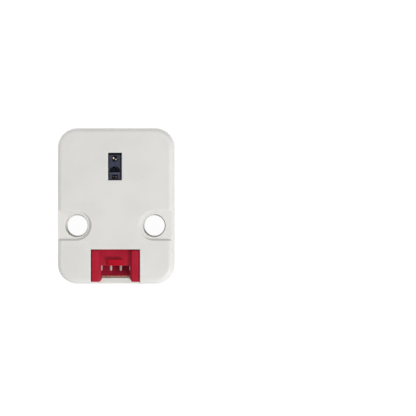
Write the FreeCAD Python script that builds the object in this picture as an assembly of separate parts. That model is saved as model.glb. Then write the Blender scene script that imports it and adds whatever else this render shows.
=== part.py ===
import FreeCAD, Part

import math
import os

Vector = FreeCAD.Vector

# Finger-clip pulse sensor module: a small two-part moulded case with an optical
# package behind a window, a four-pin plug socket at one end and two through bores.
# All sizes are in millimetres. The origin is the middle of the rear face. +Z points
# out of the front face and the plug socket faces -Y.

# Case
CASE_WIDTH = 24.0
CASE_LENGTH = 32.0
CASE_HEIGHT = 8.0
CORNER_RADIUS = 4.0
FRONT_DRAFT = 0.4
REAR_DRAFT = 0.1
FRONT_EDGE_ROUND = 0.9
REAR_EDGE_CHAMFER = 0.4
SEAM_CHAMFER = 0.1
CUT_EDGE_CHAMFER = 0.12
WALL = 1.2
FRONT_PLATE = 1.2
REAR_PLATE = 1.2
REAR_COVER_HEIGHT = 3.0
TONGUE_HEIGHT = 0.6
TONGUE_THICKNESS = 0.5
TONGUE_CLEARANCE = 0.1

# Through bores, narrowed by a web half way, with a recess that opens to the side
BORE_SPACING = 15.8
BORE_FROM_PLUG_END = 12.0
BORE_RADIUS = 2.35
WEB_RADIUS = 2.1
WEB_THICKNESS = 1.0
WEB_ABOVE_SEAM = 0.6
BORE_TUBE_WALL = 0.95
RECESS_RADIUS = 3.0
RECESS_DEPTH = 0.6
RECESS_FLOOR = 1.2
RECESS_PAD_MARGIN = 0.6

# Main board, its seat and its locating pegs
BOARD_THICKNESS = 1.2
BOARD_STANDOFF = 0.3
BOARD_CLEARANCE = 0.1
BOARD_CUTOUT_CLEARANCE = 0.3
BOARD_LEDGE_WIDTH = 0.8
PEG_INSET = 3.9
PEG_RADIUS = 0.75
PEG_RISE = 0.8
PEG_CHAMFER = 0.25
PEG_CLEARANCE = 0.1
POST_RADIUS = 1.5
POST_CLEARANCE = 0.1

# Case screw, head sunk in the rear cover
SCREW_FROM_BORES = 4.0
SCREW_SHANK_RADIUS = 1.0
SCREW_LENGTH = 5.0
SCREW_POINT = 0.5
SCREW_POINT_RADIUS = 0.35
SCREW_HEAD_RADIUS = 1.75
SCREW_HEAD_HEIGHT = 1.3
SCREW_HEAD_CHAMFER = 0.4
SCREW_HEAD_SINK = 0.2
SCREW_LEDGE = 1.1
SCREW_SOCKET_FLATS = 1.3
SCREW_SOCKET_DEPTH = 0.8
HEAD_CLEARANCE = 0.15
SHANK_CLEARANCE = 0.1
PILOT_CLEARANCE = 0.02
PILOT_END_GAP = 0.3
HEAD_BOSS_WALL = 0.8
PILOT_BOSS_WALL = 1.2

# Optical package and its window
SENSOR_FROM_END = 7.95
SENSOR_X = -0.08
SENSOR_WIDTH = 2.6
SENSOR_LENGTH = 5.4
SENSOR_SUBSTRATE = 0.6
SENSOR_BODY = 0.6
SENSOR_LEFT_STEP = 0.08
SENSOR_RIGHT_STEP = 0.19
SENSOR_NEAR_STEP = 0.08
SENSOR_FAR_STEP = 0.35
SENSOR_RIM_DEPTH = 0.35
SENSOR_EDGE_CHAMFER = 0.04
SENSOR_RIDGE_Y = -1.4
SENSOR_RIDGE_WIDTH = 0.26
SENSOR_RIDGE_INSET = 0.1
SENSOR_RIDGE_HEIGHT = 0.06
WINDOW_CLEARANCE = 0.1
COLLAR_WALL = 0.8
COLLAR_HEIGHT = 0.4
COLLAR_CLEARANCE = 0.05
EMITTER_X = -0.02
EMITTER_Y = 1.6
EMITTER_RADIUS = 0.63
DETECTOR_X = -0.03
DETECTOR_Y = -1.18
DETECTOR_WIDTH = 2.08
DETECTOR_SIDE = 0.5
DETECTOR_RISE = 0.7
REFERENCE_X = -0.01
REFERENCE_Y = -2.11
REFERENCE_WIDTH = 1.22
REFERENCE_LENGTH = 0.86
REFERENCE_ROUND = 0.2
FILL_SINK = 0.08
RED_LED_WIDTH = 0.29
RED_LED_LENGTH = 0.44
INFRARED_LED_SIZE = 0.29
LED_DIE_HEIGHT = 0.3
RED_LED_PLACE = (-0.31, 1.71)
INFRARED_LED_PLACE = (0.16, 1.43)
PHOTODIODE_WIDTH = 1.3
PHOTODIODE_LENGTH = 0.7
PHOTODIODE_HEIGHT = 0.2
PHOTODIODE_MARGIN = 0.08
SIGNAL_CHIP_WIDTH = 0.8
SIGNAL_CHIP_LENGTH = 0.5
SIGNAL_CHIP_HEIGHT = 0.15

# Raised sensor board on two pin strips
SENSOR_BOARD_WIDTH = 12.0
SENSOR_BOARD_LENGTH = 11.0
SENSOR_BOARD_THICKNESS = 1.0
SENSOR_BOARD_CORNER = 0.8
STRIP_WIDTH = 2.0
STRIP_EDGE_INSET = 0.1
STRIP_PINS = 3
STRIP_PIN_SPACING = 2.0
STRIP_CHAMFER = 0.25
LINK_PIN_SIZE = 0.5
LINK_PIN_END = 0.2
LINK_PIN_CHAMFER = 0.1
LINK_HOLE_CLEARANCE = 0.1

# Plug socket
CONNECTOR_WIDTH = 9.9
CONNECTOR_DEPTH = 6.58
CONNECTOR_HEIGHT = 4.9
CONNECTOR_SET_BACK = 0.53
CONNECTOR_SIDE_WALL = 0.9
CONNECTOR_BACK_WALL = 1.5
CONNECTOR_FLOOR = 0.6
CONNECTOR_ROOF = 0.6
CONNECTOR_EDGE_ROUND = 0.2
EAR_WIDTH = 1.98
RAIL_WIDTH = 1.6
EAR_CHAMFER_WIDTH = 0.3
EAR_CHAMFER_LENGTH = 0.6
CHANNEL_DEPTH = 1.0
ROOF_SET_BACK = 3.29
FLOOR_SET_BACK = 1.15
RAMP_WIDTH = 3.1
RAMP_LENGTH = 1.25
RAMP_FRONT_HEIGHT = 0.35
RAMP_REAR_HEIGHT = 0.95
KEY_SLOT_WIDTH = 1.2
KEY_SLOT_DEPTH = 0.3
NOTCH_CLEARANCE = 0.06
NOTCH_FLOOR_DROP = 0.1
SKIRT_WALL = 0.8
SKIRT_GAP = 0.4
REAR_SKIRT_GAP = 0.45

# Contacts and solder tabs of the socket
CONTACT_COUNT = 4
CONTACT_PITCH = 2.0
CONTACT_SIZE = 0.46
CONTACT_TIP_SET_BACK = 2.17
CONTACT_TIP_ROUND = 0.18
CONTACT_HEIGHT = 2.1
CONTACT_TAIL = 0.55
CONTACT_FOOT_LENGTH = 1.2
CONTACT_FOOT_THICKNESS = 0.3
CONTACT_BEND_RADIUS = 0.35
ANCHOR_THICKNESS = 0.2
ANCHOR_LENGTH = 2.0
ANCHOR_HEIGHT = 1.9
ANCHOR_FOOT = 1.1
ANCHOR_COVER = 0.1
ANCHOR_FROM_REAR = 0.6

# Small parts on the boards
CHIP_LEG_THICKNESS = 0.15
CHIP_LEG_REACH = 0.55
CHIP_STANDOFF = 0.05
CHIP_EDGE_CHAMFER = 0.08
REGULATOR_LENGTH = 2.9
REGULATOR_WIDTH = 1.6
REGULATOR_HEIGHT = 1.1
REGULATOR_LEG_WIDTH = 0.4
REGULATOR_LEG_PITCH = 0.95
SHIFTER_LENGTH = 2.0
SHIFTER_WIDTH = 1.25
SHIFTER_HEIGHT = 0.9
SHIFTER_LEG_WIDTH = 0.22
SHIFTER_LEG_PITCH = 0.65
CAPACITOR_LENGTH = 1.6
CAPACITOR_WIDTH = 0.8
CAPACITOR_HEIGHT = 0.8
BULK_CAPACITOR_LENGTH = 2.0
BULK_CAPACITOR_WIDTH = 1.25
BULK_CAPACITOR_HEIGHT = 1.25
RESISTOR_LENGTH = 1.0
RESISTOR_WIDTH = 0.5
RESISTOR_HEIGHT = 0.35
TERMINAL_LENGTH = 0.3
TERMINAL_RISE = 0.03
SIDE_PART_INSET = 2.4
REGULATOR_GAP = 1.35
SIDE_PART_GAP = 0.5
SHIFTER_X = 2.0
SHIFTER_GAP = 1.0
RESISTOR_GAP = 0.4
EMITTER_CAPACITOR_OFFSET = 2.6
INTERRUPT_RESISTOR_OFFSET = 1.8

# Places and levels that follow from the sizes above
case_half_width = CASE_WIDTH / 2
case_half_length = CASE_LENGTH / 2
inner_half_width = case_half_width - WALL
inner_half_length = case_half_length - WALL
wall_middle = case_half_width - WALL / 2
plate_inside = CASE_HEIGHT - FRONT_PLATE
bore_x = BORE_SPACING / 2
bore_y = -case_half_length + BORE_FROM_PLUG_END
bore_tube_radius = BORE_RADIUS + BORE_TUBE_WALL
web_bottom = REAR_COVER_HEIGHT + WEB_ABOVE_SEAM
web_top = web_bottom + WEB_THICKNESS
recess_pad_radius = RECESS_RADIUS + RECESS_PAD_MARGIN

board_bottom = REAR_PLATE + BOARD_STANDOFF
board_top = board_bottom + BOARD_THICKNESS
board_half_width = inner_half_width - BOARD_CLEARANCE
board_notch_radius = bore_tube_radius + BOARD_CUTOUT_CLEARANCE
peg_x = case_half_width - PEG_INSET
peg_y = case_half_length - PEG_INSET
peg_top = board_top + PEG_RISE
peg_places = [(x, y) for x in (-peg_x, peg_x) for y in (-peg_y, peg_y)]

screw_y = bore_y + SCREW_FROM_BORES
head_seat = SCREW_HEAD_SINK + SCREW_HEAD_HEIGHT
boss_meeting = head_seat + SCREW_LEDGE
screw_tip = head_seat + SCREW_LENGTH
counterbore_radius = SCREW_HEAD_RADIUS + HEAD_CLEARANCE
head_boss_radius = counterbore_radius + HEAD_BOSS_WALL
pilot_radius = SCREW_SHANK_RADIUS + PILOT_CLEARANCE
pilot_boss_radius = pilot_radius + PILOT_BOSS_WALL

sensor_y = case_half_length - SENSOR_FROM_END
sensor_board_top = plate_inside - COLLAR_HEIGHT
sensor_board_bottom = sensor_board_top - SENSOR_BOARD_THICKNESS
substrate_top = sensor_board_top + SENSOR_SUBSTRATE
sensor_top = substrate_top + SENSOR_BODY
strip_x = SENSOR_BOARD_WIDTH / 2 - STRIP_EDGE_INSET - STRIP_WIDTH / 2

connector_bottom = board_top
connector_top = connector_bottom + CONNECTOR_HEIGHT
connector_front = -case_half_length + CONNECTOR_SET_BACK
connector_rear = connector_front + CONNECTOR_DEPTH
cavity_half_width = CONNECTOR_WIDTH / 2 - CONNECTOR_SIDE_WALL
cavity_floor = connector_bottom + CONNECTOR_FLOOR
channel_level = connector_top - CHANNEL_DEPTH
cavity_roof = channel_level - CONNECTOR_ROOF
cavity_rear = connector_rear - CONNECTOR_BACK_WALL
mouth_half_width = CONNECTOR_WIDTH / 2 - EAR_WIDTH
channel_half_width = CONNECTOR_WIDTH / 2 - RAIL_WIDTH
roof_front = connector_front + ROOF_SET_BACK
notch_half_width = CONNECTOR_WIDTH / 2 + NOTCH_CLEARANCE
notch_rear = connector_rear + NOTCH_CLEARANCE
contact_level = connector_bottom + CONTACT_HEIGHT
contact_places = [(n - (CONTACT_COUNT - 1) / 2) * CONTACT_PITCH for n in range(CONTACT_COUNT)]

# Length by which a cutting body runs past what it cuts
OVERRUN = 1.0


def block(x0, x1, y0, y1, z0, z1):
    """A box between two corners, each pair of values in either order."""
    low = Vector(min(x0, x1), min(y0, y1), min(z0, z1))
    return Part.makeBox(abs(x1 - x0), abs(y1 - y0), abs(z1 - z0), low)


def cylinder(radius, x, y, z0, z1):
    """An upright cylinder."""
    return Part.makeCylinder(radius, z1 - z0, Vector(x, y, z0))


def rounded_prism(width, length, radius, z0, z1, x=0.0, y=0.0):
    """A block with rounded upright corners, centred on x and y."""
    prism = block(x - width / 2, x + width / 2, y - length / 2, y + length / 2, z0, z1)
    upright = [edge for edge in prism.Edges if edge.BoundBox.ZLength > (z1 - z0) / 2]
    return prism.makeFillet(radius, upright)


def case_prism(inset, z0, z1):
    """The outline of the case, moved inwards by the inset."""
    width = CASE_WIDTH - 2 * inset
    length = CASE_LENGTH - 2 * inset
    return rounded_prism(width, length, CORNER_RADIUS - inset, z0, z1)


def draft_at(level):
    """How far the drafted outside of the case stands in from its widest line at a level."""
    above = level - REAR_COVER_HEIGHT
    if above > 0:
        return FRONT_DRAFT * above / (CASE_HEIGHT - REAR_COVER_HEIGHT)
    return -REAR_DRAFT * above / REAR_COVER_HEIGHT


def case_outline(inset, level):
    """The outline of the case at a level as a wire, moved inwards by the inset."""
    half_width = case_half_width - inset
    half_length = case_half_length - inset
    radius = CORNER_RADIUS - inset
    reach = radius * math.sqrt(0.5)
    edges = []
    for x, y in ((1, 1), (-1, 1), (-1, -1), (1, -1)):
        centre = Vector(x * (half_width - radius), y * (half_length - radius), level)
        on_side = centre + Vector(x * radius, 0, 0)
        on_end = centre + Vector(0, y * radius, 0)
        first, last = (on_side, on_end) if x * y > 0 else (on_end, on_side)
        if edges:
            edges.append(Part.LineSegment(edges[-1].lastVertex().Point, first).toShape())
        edges.append(Part.Arc(first, centre + Vector(x * reach, y * reach, 0), last).toShape())
    edges.append(Part.LineSegment(edges[-1].lastVertex().Point, edges[0].firstVertex().Point).toShape())
    return Part.Wire(edges)


def drafted_case(inset, z0, z1):
    """The drafted outside of the case between two levels, moved inwards by the inset."""
    low = case_outline(inset + draft_at(z0), z0)
    high = case_outline(inset + draft_at(z1), z1)
    return Part.makeLoft([low, high], True, True)


def edges_at_level(shape, level):
    """The edges that lie in one horizontal plane."""
    flat = [edge for edge in shape.Edges if edge.BoundBox.ZLength < 1e-4]
    return [edge for edge in flat if abs(edge.BoundBox.ZMin - level) < 1e-4]


def side_slot(side, radius, end_x, z0, z1):
    """A half-round slot that starts round a bore and runs out to one side of the case."""
    x = side * bore_x
    near = Vector(x, bore_y - radius, z0)
    far = Vector(x, bore_y + radius, z0)
    crown = Vector(x - side * radius, bore_y, z0)
    near_end = Vector(side * end_x, bore_y - radius, z0)
    far_end = Vector(side * end_x, bore_y + radius, z0)
    outline = [
        Part.LineSegment(near_end, near).toShape(),
        Part.Arc(near, crown, far).toShape(),
        Part.LineSegment(far, far_end).toShape(),
        Part.LineSegment(far_end, near_end).toShape(),
    ]
    return Part.Face(Part.Wire(outline)).extrude(Vector(0, 0, z1 - z0))


def prism_across(points, x0, x1):
    """A prism along X whose outline is given by (y, z) points."""
    corners = [Vector(x0, y, z) for y, z in points]
    outline = Part.makePolygon(corners + corners[:1])
    return Part.Face(outline).extrude(Vector(x1 - x0, 0, 0))


def fused(shapes):
    """One solid made of overlapping or touching shapes."""
    first = shapes[0]
    return first.multiFuse(shapes[1:]).removeSplitter()


def break_cut_edges(shape, level, edge_inset):
    """Chamfer the edges that cuts leave in an outer face, but not the face's own outline."""
    width = CASE_WIDTH / 2 - edge_inset
    length = CASE_LENGTH / 2 - edge_inset
    corner = CORNER_RADIUS - edge_inset
    chosen = []
    for edge in edges_at_level(shape, level):
        middle = edge.valueAt((edge.FirstParameter + edge.LastParameter) / 2)
        past_x = max(abs(middle.x) - (width - corner), 0.0)
        past_y = max(abs(middle.y) - (length - corner), 0.0)
        if math.hypot(past_x, past_y) < corner - 0.01:
            chosen.append(edge)
    return shape.makeChamfer(CUT_EDGE_CHAMFER, chosen)


def make_front_cover():
    """Front shell: plate, walls, tongue, bore tubes, window collar, posts and screw boss."""
    shell = drafted_case(0.0, REAR_COVER_HEIGHT, CASE_HEIGHT)
    shell = shell.makeFillet(FRONT_EDGE_ROUND, edges_at_level(shell, CASE_HEIGHT))
    shell = shell.makeChamfer(SEAM_CHAMFER, edges_at_level(shell, REAR_COVER_HEIGHT))
    shell = shell.cut(case_prism(WALL + FRONT_DRAFT, REAR_COVER_HEIGHT, plate_inside))

    tongue_end = REAR_COVER_HEIGHT - TONGUE_HEIGHT
    tongue = case_prism(WALL - TONGUE_THICKNESS, tongue_end, REAR_COVER_HEIGHT + TONGUE_HEIGHT)
    tongue = tongue.cut(case_prism(WALL, tongue_end - OVERRUN, CASE_HEIGHT))

    pad_bottom = CASE_HEIGHT - RECESS_DEPTH - RECESS_FLOOR
    inside = [shell, tongue]
    for side in (-1, 1):
        inside.append(cylinder(bore_tube_radius, side * bore_x, bore_y, REAR_COVER_HEIGHT, plate_inside))
        inside.append(side_slot(side, recess_pad_radius, wall_middle, pad_bottom, plate_inside))
        inside.append(
            block(
                side * notch_half_width,
                side * (notch_half_width + SKIRT_WALL),
                -case_half_length + WALL / 2,
                notch_rear + SKIRT_WALL,
                board_top + SKIRT_GAP,
                plate_inside,
            )
        )
    inside.append(
        block(
            -notch_half_width,
            notch_half_width,
            notch_rear,
            notch_rear + SKIRT_WALL,
            contact_level + CONTACT_SIZE / 2 + REAR_SKIRT_GAP,
            plate_inside,
        )
    )
    inside.append(cylinder(pilot_boss_radius, 0, screw_y, boss_meeting, plate_inside))
    for x, y in peg_places:
        inside.append(cylinder(POST_RADIUS, x, y, board_top + POST_CLEARANCE, plate_inside))
    collar_width = SENSOR_WIDTH + 2 * (WINDOW_CLEARANCE + COLLAR_WALL)
    collar_length = SENSOR_LENGTH + 2 * (WINDOW_CLEARANCE + COLLAR_WALL)
    collar_end = sensor_board_top + COLLAR_CLEARANCE
    collar = rounded_prism(
        collar_width, collar_length, COLLAR_WALL, collar_end, plate_inside, SENSOR_X, sensor_y
    )
    inside.append(collar)
    cover = fused(inside)

    cutters = [
        block(
            -notch_half_width,
            notch_half_width,
            -case_half_length - OVERRUN,
            notch_rear,
            REAR_COVER_HEIGHT - OVERRUN,
            CASE_HEIGHT + OVERRUN,
        ),
        block(
            SENSOR_X - SENSOR_WIDTH / 2 - WINDOW_CLEARANCE,
            SENSOR_X + SENSOR_WIDTH / 2 + WINDOW_CLEARANCE,
            sensor_y - SENSOR_LENGTH / 2 - WINDOW_CLEARANCE,
            sensor_y + SENSOR_LENGTH / 2 + WINDOW_CLEARANCE,
            sensor_board_top - OVERRUN,
            CASE_HEIGHT + OVERRUN,
        ),
        cylinder(pilot_radius, 0, screw_y, boss_meeting - OVERRUN, screw_tip + PILOT_END_GAP),
    ]
    for side in (-1, 1):
        cutters.append(
            side_slot(
                side,
                RECESS_RADIUS,
                case_half_width + OVERRUN,
                CASE_HEIGHT - RECESS_DEPTH,
                CASE_HEIGHT + OVERRUN,
            )
        )
        cutters.append(cylinder(BORE_RADIUS, side * bore_x, bore_y, web_top, CASE_HEIGHT))
        cutters.append(cylinder(BORE_RADIUS, side * bore_x, bore_y, 0, web_bottom))
        cutters.append(cylinder(WEB_RADIUS, side * bore_x, bore_y, 0, CASE_HEIGHT))
    for x, y in peg_places:
        cutters.append(cylinder(PEG_RADIUS + PEG_CLEARANCE, x, y, board_top, peg_top + PEG_CLEARANCE))
    for cutter in cutters:
        cover = cover.cut(cutter)
    return break_cut_edges(cover, CASE_HEIGHT, FRONT_DRAFT + FRONT_EDGE_ROUND)


def make_rear_cover():
    """Rear shell: plate, walls with a rebate for the tongue, bore tubes, ledge, pegs and boss."""
    shell = drafted_case(0.0, 0.0, REAR_COVER_HEIGHT)
    shell = shell.makeChamfer(REAR_EDGE_CHAMFER, edges_at_level(shell, 0.0))
    shell = shell.makeChamfer(SEAM_CHAMFER, edges_at_level(shell, REAR_COVER_HEIGHT))
    shell = shell.cut(case_prism(WALL, REAR_PLATE, REAR_COVER_HEIGHT + OVERRUN))

    ledge = case_prism(WALL / 2, REAR_PLATE / 2, board_bottom)
    ledge = ledge.cut(case_prism(WALL + BOARD_LEDGE_WIDTH, 0.0, CASE_HEIGHT))
    inside = [shell, ledge]
    for side in (-1, 1):
        inside.append(cylinder(bore_tube_radius, side * bore_x, bore_y, REAR_PLATE / 2, REAR_COVER_HEIGHT))
        inside.append(side_slot(side, recess_pad_radius, wall_middle, REAR_PLATE / 2, board_bottom))
    for x, y in peg_places:
        peg = cylinder(PEG_RADIUS, x, y, REAR_PLATE / 2, peg_top)
        inside.append(peg.makeChamfer(PEG_CHAMFER, edges_at_level(peg, peg_top)))
    inside.append(cylinder(head_boss_radius, 0, screw_y, REAR_PLATE / 2, boss_meeting))
    cover = fused(inside)

    rebate_inset = WALL - TONGUE_THICKNESS - TONGUE_CLEARANCE
    rebate_floor = REAR_COVER_HEIGHT - TONGUE_HEIGHT - TONGUE_CLEARANCE
    rebate = case_prism(rebate_inset, rebate_floor, REAR_COVER_HEIGHT + OVERRUN)
    rebate = rebate.cut(case_prism(WALL + TONGUE_CLEARANCE, 0.0, CASE_HEIGHT))
    below_plug = block(
        -notch_half_width + TONGUE_CLEARANCE,
        notch_half_width - TONGUE_CLEARANCE,
        -case_half_length,
        0,
        0,
        CASE_HEIGHT,
    )
    cutters = [
        rebate.cut(below_plug),
        block(
            -notch_half_width,
            notch_half_width,
            -case_half_length - OVERRUN,
            -inner_half_length,
            board_top - NOTCH_FLOOR_DROP,
            CASE_HEIGHT,
        ),
        cylinder(counterbore_radius, 0, screw_y, -OVERRUN, head_seat),
        cylinder(SCREW_SHANK_RADIUS + SHANK_CLEARANCE, 0, screw_y, 0, CASE_HEIGHT),
    ]
    for side in (-1, 1):
        cutters.append(side_slot(side, RECESS_RADIUS, case_half_width + OVERRUN, -OVERRUN, RECESS_DEPTH))
        cutters.append(cylinder(BORE_RADIUS, side * bore_x, bore_y, 0, CASE_HEIGHT))
    for cutter in cutters:
        cover = cover.cut(cutter)
    return break_cut_edges(cover, 0.0, REAR_DRAFT + REAR_EDGE_CHAMFER)


def make_case_screw():
    """Self-tapping screw with a chamfered head and a hexagon socket, its thread left plain."""
    point_base = screw_tip - SCREW_POINT
    shank = cylinder(SCREW_SHANK_RADIUS, 0, screw_y, head_seat, point_base)
    point = Part.makeCone(
        SCREW_SHANK_RADIUS, SCREW_POINT_RADIUS, SCREW_POINT, Vector(0, screw_y, point_base)
    )
    head = cylinder(SCREW_HEAD_RADIUS, 0, screw_y, SCREW_HEAD_SINK, head_seat)
    head = head.makeChamfer(SCREW_HEAD_CHAMFER, edges_at_level(head, SCREW_HEAD_SINK))
    corner_radius = SCREW_SOCKET_FLATS / math.sqrt(3)
    corners = [
        Vector(
            corner_radius * math.cos(math.radians(60 * n)),
            screw_y + corner_radius * math.sin(math.radians(60 * n)),
            SCREW_HEAD_SINK - OVERRUN,
        )
        for n in range(6)
    ]
    hexagon = Part.Face(Part.makePolygon(corners + corners[:1]))
    socket = hexagon.extrude(Vector(0, 0, SCREW_SOCKET_DEPTH + OVERRUN))
    return fused([head, shank, point]).cut(socket)


def make_main_board():
    """Main board: notched round the bore tubes, with holes for the boss, pegs and link pins."""
    inset = WALL + BOARD_CLEARANCE
    board = case_prism(inset, board_bottom, board_top)
    cutters = [
        cylinder(head_boss_radius + BOARD_CUTOUT_CLEARANCE, 0, screw_y, 0, CASE_HEIGHT),
    ]
    for side in (-1, 1):
        cutters.append(side_slot(side, board_notch_radius, case_half_width, 0, CASE_HEIGHT))
    for x, y in peg_places:
        cutters.append(cylinder(PEG_RADIUS + PEG_CLEARANCE, x, y, 0, CASE_HEIGHT))
    for x, y in link_pin_places():
        cutters.append(cylinder(link_hole_radius(), x, y, 0, CASE_HEIGHT))
    for cutter in cutters:
        board = board.cut(cutter)
    return board


def link_pin_places():
    """The (x, y) places of the link pins, left strip first."""
    rows = [sensor_y + (n - (STRIP_PINS - 1) / 2) * STRIP_PIN_SPACING for n in range(STRIP_PINS)]
    return [(x, y) for x in (-strip_x, strip_x) for y in rows]


def link_hole_radius():
    """Radius of a plated hole that takes a square link pin."""
    return LINK_PIN_SIZE / math.sqrt(2) + LINK_HOLE_CLEARANCE


def make_sensor_board():
    """Raised board that carries the optical package under the window."""
    board = rounded_prism(
        SENSOR_BOARD_WIDTH,
        SENSOR_BOARD_LENGTH,
        SENSOR_BOARD_CORNER,
        sensor_board_bottom,
        sensor_board_top,
        0.0,
        sensor_y,
    )
    for x, y in link_pin_places():
        board = board.cut(cylinder(link_hole_radius(), x, y, 0, CASE_HEIGHT))
    boss_clearance = cylinder(pilot_boss_radius + BOARD_CUTOUT_CLEARANCE, 0, screw_y, 0, CASE_HEIGHT)
    return board.cut(boss_clearance)


def make_link_strip(side):
    """Moulded spacer of one pin strip, with a square hole for each pin."""
    length = STRIP_PINS * STRIP_PIN_SPACING
    half = LINK_PIN_SIZE / 2
    strip = block(
        side * strip_x - STRIP_WIDTH / 2,
        side * strip_x + STRIP_WIDTH / 2,
        sensor_y - length / 2,
        sensor_y + length / 2,
        board_top,
        sensor_board_bottom,
    )
    upright = [edge for edge in strip.Edges if edge.BoundBox.ZLength > STRIP_WIDTH / 2]
    strip = strip.makeChamfer(STRIP_CHAMFER, upright)
    for x, y in link_pin_places():
        if x * side > 0:
            strip = strip.cut(block(x - half, x + half, y - half, y + half, 0, CASE_HEIGHT))
    return strip


def make_link_pin(place):
    """Square pin that joins the two boards, chamfered at both ends."""
    x, y = place
    half = LINK_PIN_SIZE / 2
    low = board_bottom - LINK_PIN_END
    high = sensor_board_top + LINK_PIN_END
    pin = block(x - half, x + half, y - half, y + half, low, high)
    return pin.makeChamfer(LINK_PIN_CHAMFER, edges_at_level(pin, low) + edges_at_level(pin, high))


def anchor_block(side, x0, x1, z0, z1):
    """A box on one side of the socket, where its solder tab sits."""
    rear = connector_rear - ANCHOR_FROM_REAR
    return block(side * x0, side * x1, rear - ANCHOR_LENGTH, rear, z0, z1)


def make_anchor(side):
    """Solder tab: an upright plate in the side wall and a foot on the board."""
    outer = CONNECTOR_WIDTH / 2 - ANCHOR_COVER
    inner = outer - ANCHOR_THICKNESS
    plate = anchor_block(side, inner, outer, board_top, board_top + ANCHOR_HEIGHT)
    foot = anchor_block(side, outer, outer + ANCHOR_FOOT, board_top, board_top + ANCHOR_THICKNESS)
    return fused([plate, foot])


def make_connector_housing():
    """Socket moulding: raised side rails, lowered roof with a latch ramp, open front."""
    half = CONNECTOR_WIDTH / 2
    housing = block(-half, half, connector_front, connector_rear, connector_bottom, connector_top)
    long_edges = [
        edge
        for edge in housing.Edges
        if edge.BoundBox.ZLength > CONNECTOR_HEIGHT / 2 and edge.BoundBox.YMin > connector_front + 1e-4
    ]
    long_edges += edges_at_level(housing, connector_top)
    housing = housing.makeFillet(CONNECTOR_EDGE_ROUND, long_edges)

    cavity = block(
        -cavity_half_width,
        cavity_half_width,
        connector_front - OVERRUN,
        cavity_rear,
        cavity_floor,
        cavity_roof,
    )
    channel = block(
        -channel_half_width,
        channel_half_width,
        connector_front - OVERRUN,
        connector_rear + OVERRUN,
        channel_level,
        connector_top + OVERRUN,
    )
    roof_opening = block(
        -mouth_half_width,
        mouth_half_width,
        connector_front - OVERRUN,
        roof_front,
        cavity_floor,
        connector_top + OVERRUN,
    )
    floor_opening = block(
        -mouth_half_width,
        mouth_half_width,
        connector_front - OVERRUN,
        connector_front + FLOOR_SET_BACK,
        connector_bottom - OVERRUN,
        connector_top,
    )
    cutters = [cavity, channel, roof_opening, floor_opening]
    for side in (-1, 1):
        cutters.append(
            block(
                0,
                side * (cavity_half_width + KEY_SLOT_DEPTH),
                connector_front - OVERRUN,
                cavity_rear,
                cavity_floor,
                cavity_floor + KEY_SLOT_WIDTH,
            )
        )
        tip_x = side * mouth_half_width
        ear_corner = [
            Vector(tip_x, connector_front, 0),
            Vector(tip_x + side * EAR_CHAMFER_WIDTH, connector_front, 0),
            Vector(tip_x, connector_front + EAR_CHAMFER_LENGTH, 0),
        ]
        wedge = Part.Face(Part.makePolygon(ear_corner + ear_corner[:1]))
        cutters.append(wedge.extrude(Vector(0, 0, CASE_HEIGHT)))
    for x in contact_places:
        cutters.append(
            block(
                x - CONTACT_SIZE / 2,
                x + CONTACT_SIZE / 2,
                cavity_rear - OVERRUN,
                connector_rear + OVERRUN,
                contact_level - CONTACT_SIZE / 2,
                contact_level + CONTACT_SIZE / 2,
            )
        )
    for side in (-1, 1):
        cutters.append(make_anchor(side))
    for cutter in cutters:
        housing = housing.cut(cutter)

    ramp_rear = roof_front + RAMP_LENGTH
    ramp = prism_across(
        [
            (roof_front, channel_level - CONNECTOR_ROOF / 2),
            (ramp_rear, channel_level - CONNECTOR_ROOF / 2),
            (ramp_rear, channel_level + RAMP_REAR_HEIGHT),
            (roof_front, channel_level + RAMP_FRONT_HEIGHT),
        ],
        -RAMP_WIDTH / 2,
        RAMP_WIDTH / 2,
    )
    return fused([housing, ramp])


def make_contact(x):
    """Square contact pin, bent down behind the socket to a foot on the board."""
    half = CONTACT_SIZE / 2
    tip_y = connector_front + CONTACT_TIP_SET_BACK
    drop_y = connector_rear + CONTACT_TAIL
    foot_y = drop_y + CONTACT_FOOT_LENGTH
    bar = block(x - half, x + half, tip_y, drop_y, contact_level - half, contact_level + half)
    tip_edges = [edge for edge in bar.Edges if abs(edge.BoundBox.YMax - tip_y) < 1e-4]
    bar = bar.makeChamfer(CONTACT_TIP_ROUND, tip_edges)
    drop = block(x - half, x + half, drop_y - CONTACT_SIZE, drop_y, board_top, contact_level + half)
    foot_top = board_top + CONTACT_FOOT_THICKNESS
    foot = block(x - half, x + half, drop_y - CONTACT_SIZE, foot_y, board_top, foot_top)
    contact = fused([bar, drop, foot])
    bend = [
        edge
        for edge in contact.Edges
        if edge.BoundBox.XLength > CONTACT_SIZE / 2
        and abs(edge.BoundBox.YMin - drop_y) < 1e-4
        and abs(edge.BoundBox.ZMin - (contact_level + half)) < 1e-4
    ]
    return contact.makeFillet(CONTACT_BEND_RADIUS, bend)


def emitter_outline(z0, z1):
    """Round aperture of the two emitters."""
    return cylinder(EMITTER_RADIUS, SENSOR_X + EMITTER_X, sensor_y + EMITTER_Y, z0, z1)


def detector_outline(z0, z1):
    """Aperture of the detector: straight at the bottom and arched at the top."""
    middle = SENSOR_X + DETECTOR_X
    left = middle - DETECTOR_WIDTH / 2
    right = middle + DETECTOR_WIDTH / 2
    bottom = sensor_y + DETECTOR_Y
    shoulder = bottom + DETECTOR_SIDE
    corners = [Vector(left, shoulder, z0), Vector(left, bottom, z0)]
    corners += [Vector(right, bottom, z0), Vector(right, shoulder, z0)]
    crown = Vector(middle, shoulder + DETECTOR_RISE, z0)
    outline = [
        Part.LineSegment(corners[0], corners[1]).toShape(),
        Part.LineSegment(corners[1], corners[2]).toShape(),
        Part.LineSegment(corners[2], corners[3]).toShape(),
        Part.Arc(corners[3], crown, corners[0]).toShape(),
    ]
    return Part.Face(Part.Wire(outline)).extrude(Vector(0, 0, z1 - z0))


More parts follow.
